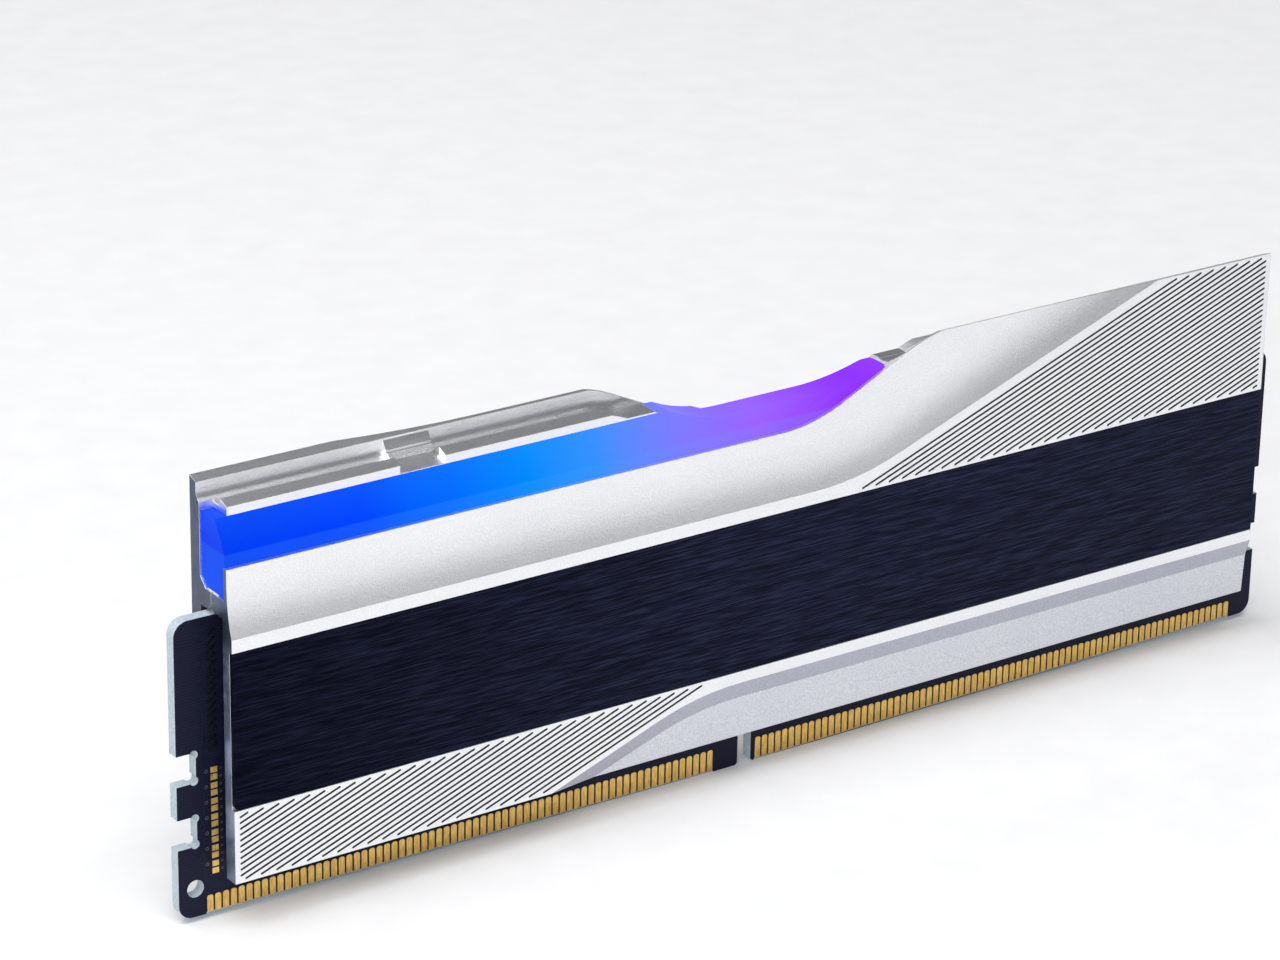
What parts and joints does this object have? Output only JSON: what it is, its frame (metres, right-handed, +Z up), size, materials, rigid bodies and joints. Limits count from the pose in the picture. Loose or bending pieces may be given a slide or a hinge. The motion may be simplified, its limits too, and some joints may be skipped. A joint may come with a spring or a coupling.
{
  "type": "ram module",
  "caption": "Desktop memory module: notched board with gold edge contacts, two-part sculpted aluminium heat spreader with dark inlaid plates, and a lit translucent bar along the top.",
  "frame": {"origin": "middle of the circuit board's lower edge, on the board's mid-plane", "axes": "+X along the module, +Z up from the contacts to the lit bar, -Y out of the face that carries the memory packages"},
  "size_m": [0.1334, 0.0073, 0.044],
  "materials": {
    "circuit_board": "dark solder mask over glass-epoxy laminate",
    "gold_contacts": "gold plate, satin",
    "gold_pads": "gold plate, satin",
    "chip_plastic": "moulded epoxy, fine matte",
    "solder": "satin tin alloy",
    "ceramic": "ceramic between tinned end caps",
    "inductor": "pressed iron powder",
    "led_body": "white moulded body",
    "thermal_pad": "soft filled silicone",
    "spreader": "bead-blasted, clear anodised",
    "insert": "navy-black anodised, brushed lengthwise",
    "glue": "acrylic adhesive film",
    "light_bar": "frosted acrylic, lit from inside",
    "tape": "white double-sided tape"
  },
  "bodies": {
    "root": {"circuit_board": "circuit_board", "contacts_front_left": "gold_contacts", "contacts_front_right": "gold_contacts", "contacts_rear_left": "gold_contacts", "contacts_rear_right": "gold_contacts", "end_pads": "gold_pads", "memory_packages": "chip_plastic", "package_balls": "solder", "package_capacitors": "ceramic", "power_capacitors": "ceramic", "resistor_arrays": "chip_plastic", "power_controller": "chip_plastic", "power_inductors": "inductor", "data_hub": "chip_plastic", "light_controller": "chip_plastic", "rgb_leds": "led_body", "front_thermal_pads": "thermal_pad", "power_thermal_pad": "thermal_pad", "rear_thermal_pad": "thermal_pad", "front_spreader": "spreader", "rear_spreader": "spreader", "front_insert": "insert", "front_insert_glue": "glue", "rear_insert": "insert", "rear_insert_glue": "glue", "lit_bar": "light_bar", "bar_tape": "tape"}
  },
  "joints": []
}
